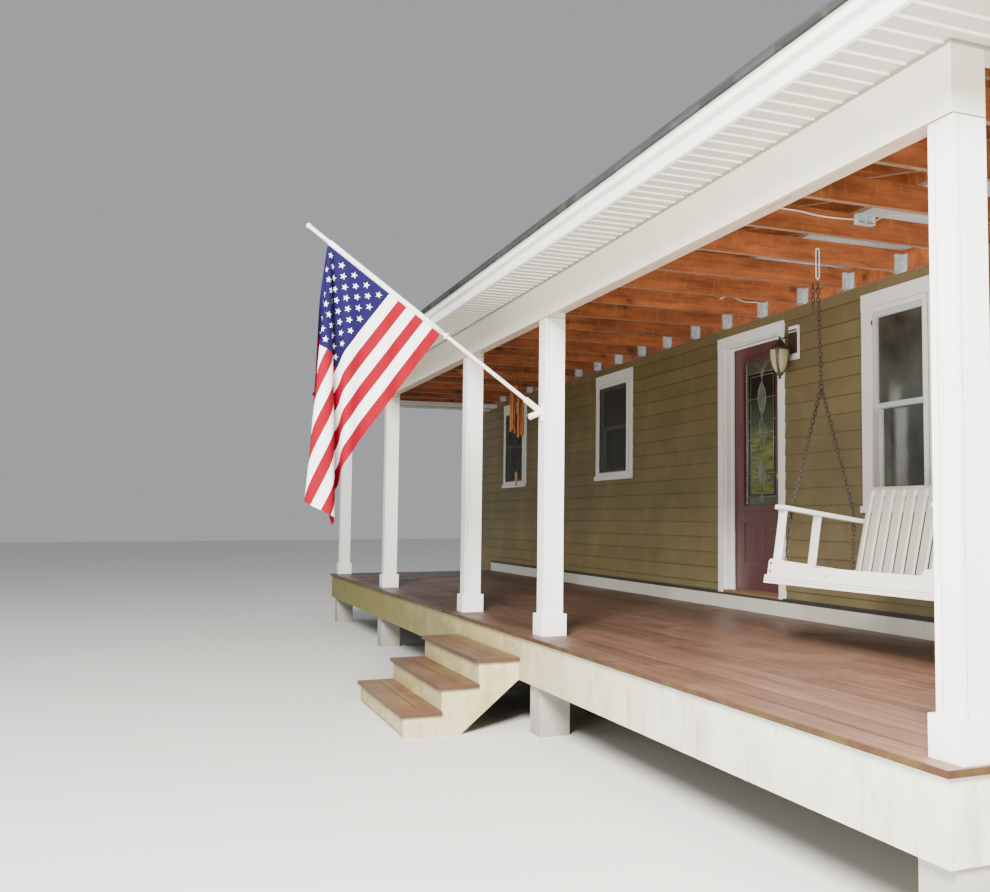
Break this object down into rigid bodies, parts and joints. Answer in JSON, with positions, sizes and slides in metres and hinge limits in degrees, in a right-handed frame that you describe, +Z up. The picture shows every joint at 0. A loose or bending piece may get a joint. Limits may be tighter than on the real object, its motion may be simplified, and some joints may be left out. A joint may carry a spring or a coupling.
{
  "type": "front porch",
  "caption": "Covered front porch along a house wall: boxed posts on a deck, box steps, open joist ceiling, hipped lean-to roof, front door and hanging bench swing.",
  "frame": {"origin": "centre of the underside of the house wall's foundation: X = 0 midway between the end posts, Y = 0 in the middle of the wall's thickness, Z = 0 at the ground", "axes": "+X along the wall to the right seen from the front, -Y out of the front of the house, +Z up"},
  "size_m": [14.76, 3.8487, 3.87],
  "materials": {
    "concrete": "weathered concrete",
    "sheathing": "sawn sheathing",
    "siding": "matte olive-tan lap siding",
    "trim_paint": "satin white paint on wood",
    "oak": "varnished oak",
    "door_paint": "satin maroon paint",
    "leaded_glass": "bevelled leaded glass",
    "brass": "aged brass",
    "window_glass": "clear glass behind a dark screen",
    "framing": "rough treated lumber",
    "decking": "brown composite board with streaked grain",
    "skirt_paint": "cream white paint with green and yellow stains",
    "stained_wood": "orange-brown stained lumber",
    "galvanised": "galvanised",
    "shingle": "dark asphalt shingle",
    "vinyl": "matte ribbed vinyl",
    "bronze": "dark bronze paint",
    "amber_glass": "cream seeded glass",
    "white_metal": "white paint",
    "flag_cloth": "woven nylon",
    "swing_paint": "satin white paint",
    "chain_steel": "dark weathered steel",
    "copper": "warm copper tubes"
  },
  "bodies": {
    "porch": {"foundation": "concrete", "wall_far": "sheathing", "wall_near": "sheathing", "wall_over_door": "sheathing", "lap_siding": "siding", "corner_boards": "trim_paint", "base_board": "trim_paint", "door_frame": "trim_paint", "threshold": "oak", "window_1": "trim_paint", "window_2": "trim_paint", "window_3": "trim_paint", "window_glass": "window_glass", "piers": "concrete", "deck_frame": "framing", "deck_floor": "decking", "skirt_boards": "skirt_paint", "step_sides": "skirt_paint", "step_risers": "skirt_paint", "tread_1": "decking", "tread_2": "decking", "tread_3": "decking", "post_1": "trim_paint", "post_2": "trim_paint", "post_3": "trim_paint", "post_4": "trim_paint", "post_5": "trim_paint", "front_beam": "trim_paint", "end_beams": "trim_paint", "ledger": "stained_wood", "ceiling_joists": "stained_wood", "joist_hangers": "galvanised", "rafters": "stained_wood", "roof_sheathing": "sheathing", "shingles": "shingle", "soffit": "vinyl", "fascia": "trim_paint", "lantern_block": "trim_paint", "wall_lantern": "bronze", "lantern_glass": "amber_glass", "flag_bracket": "white_metal", "flag_pole": "white_metal", "flag": "flag_cloth", "wind_chime": "copper", "swing_hooks": "galvanised"},
    "door": {"front_door": "door_paint", "door_glass": "leaded_glass", "door_knob": "brass"},
    "swing": {"swing_seat": "swing_paint", "swing_back": "swing_paint", "swing_arms": "swing_paint", "swing_chains": "chain_steel"}
  },
  "joints": [
    {"name": "door_hinge", "type": "hinge", "parent": "porch", "child": "door", "pos_m": [0.738, 0.082, 1.8], "axis": [0, 0, 1], "range_deg": [0, 95]},
    {"name": "swing_pendulum", "type": "hinge", "parent": "porch", "child": "swing", "pos_m": [4.244, -0.775, 2.86], "axis": [1, 0, 0], "range_deg": [-20, 8]}
  ]
}
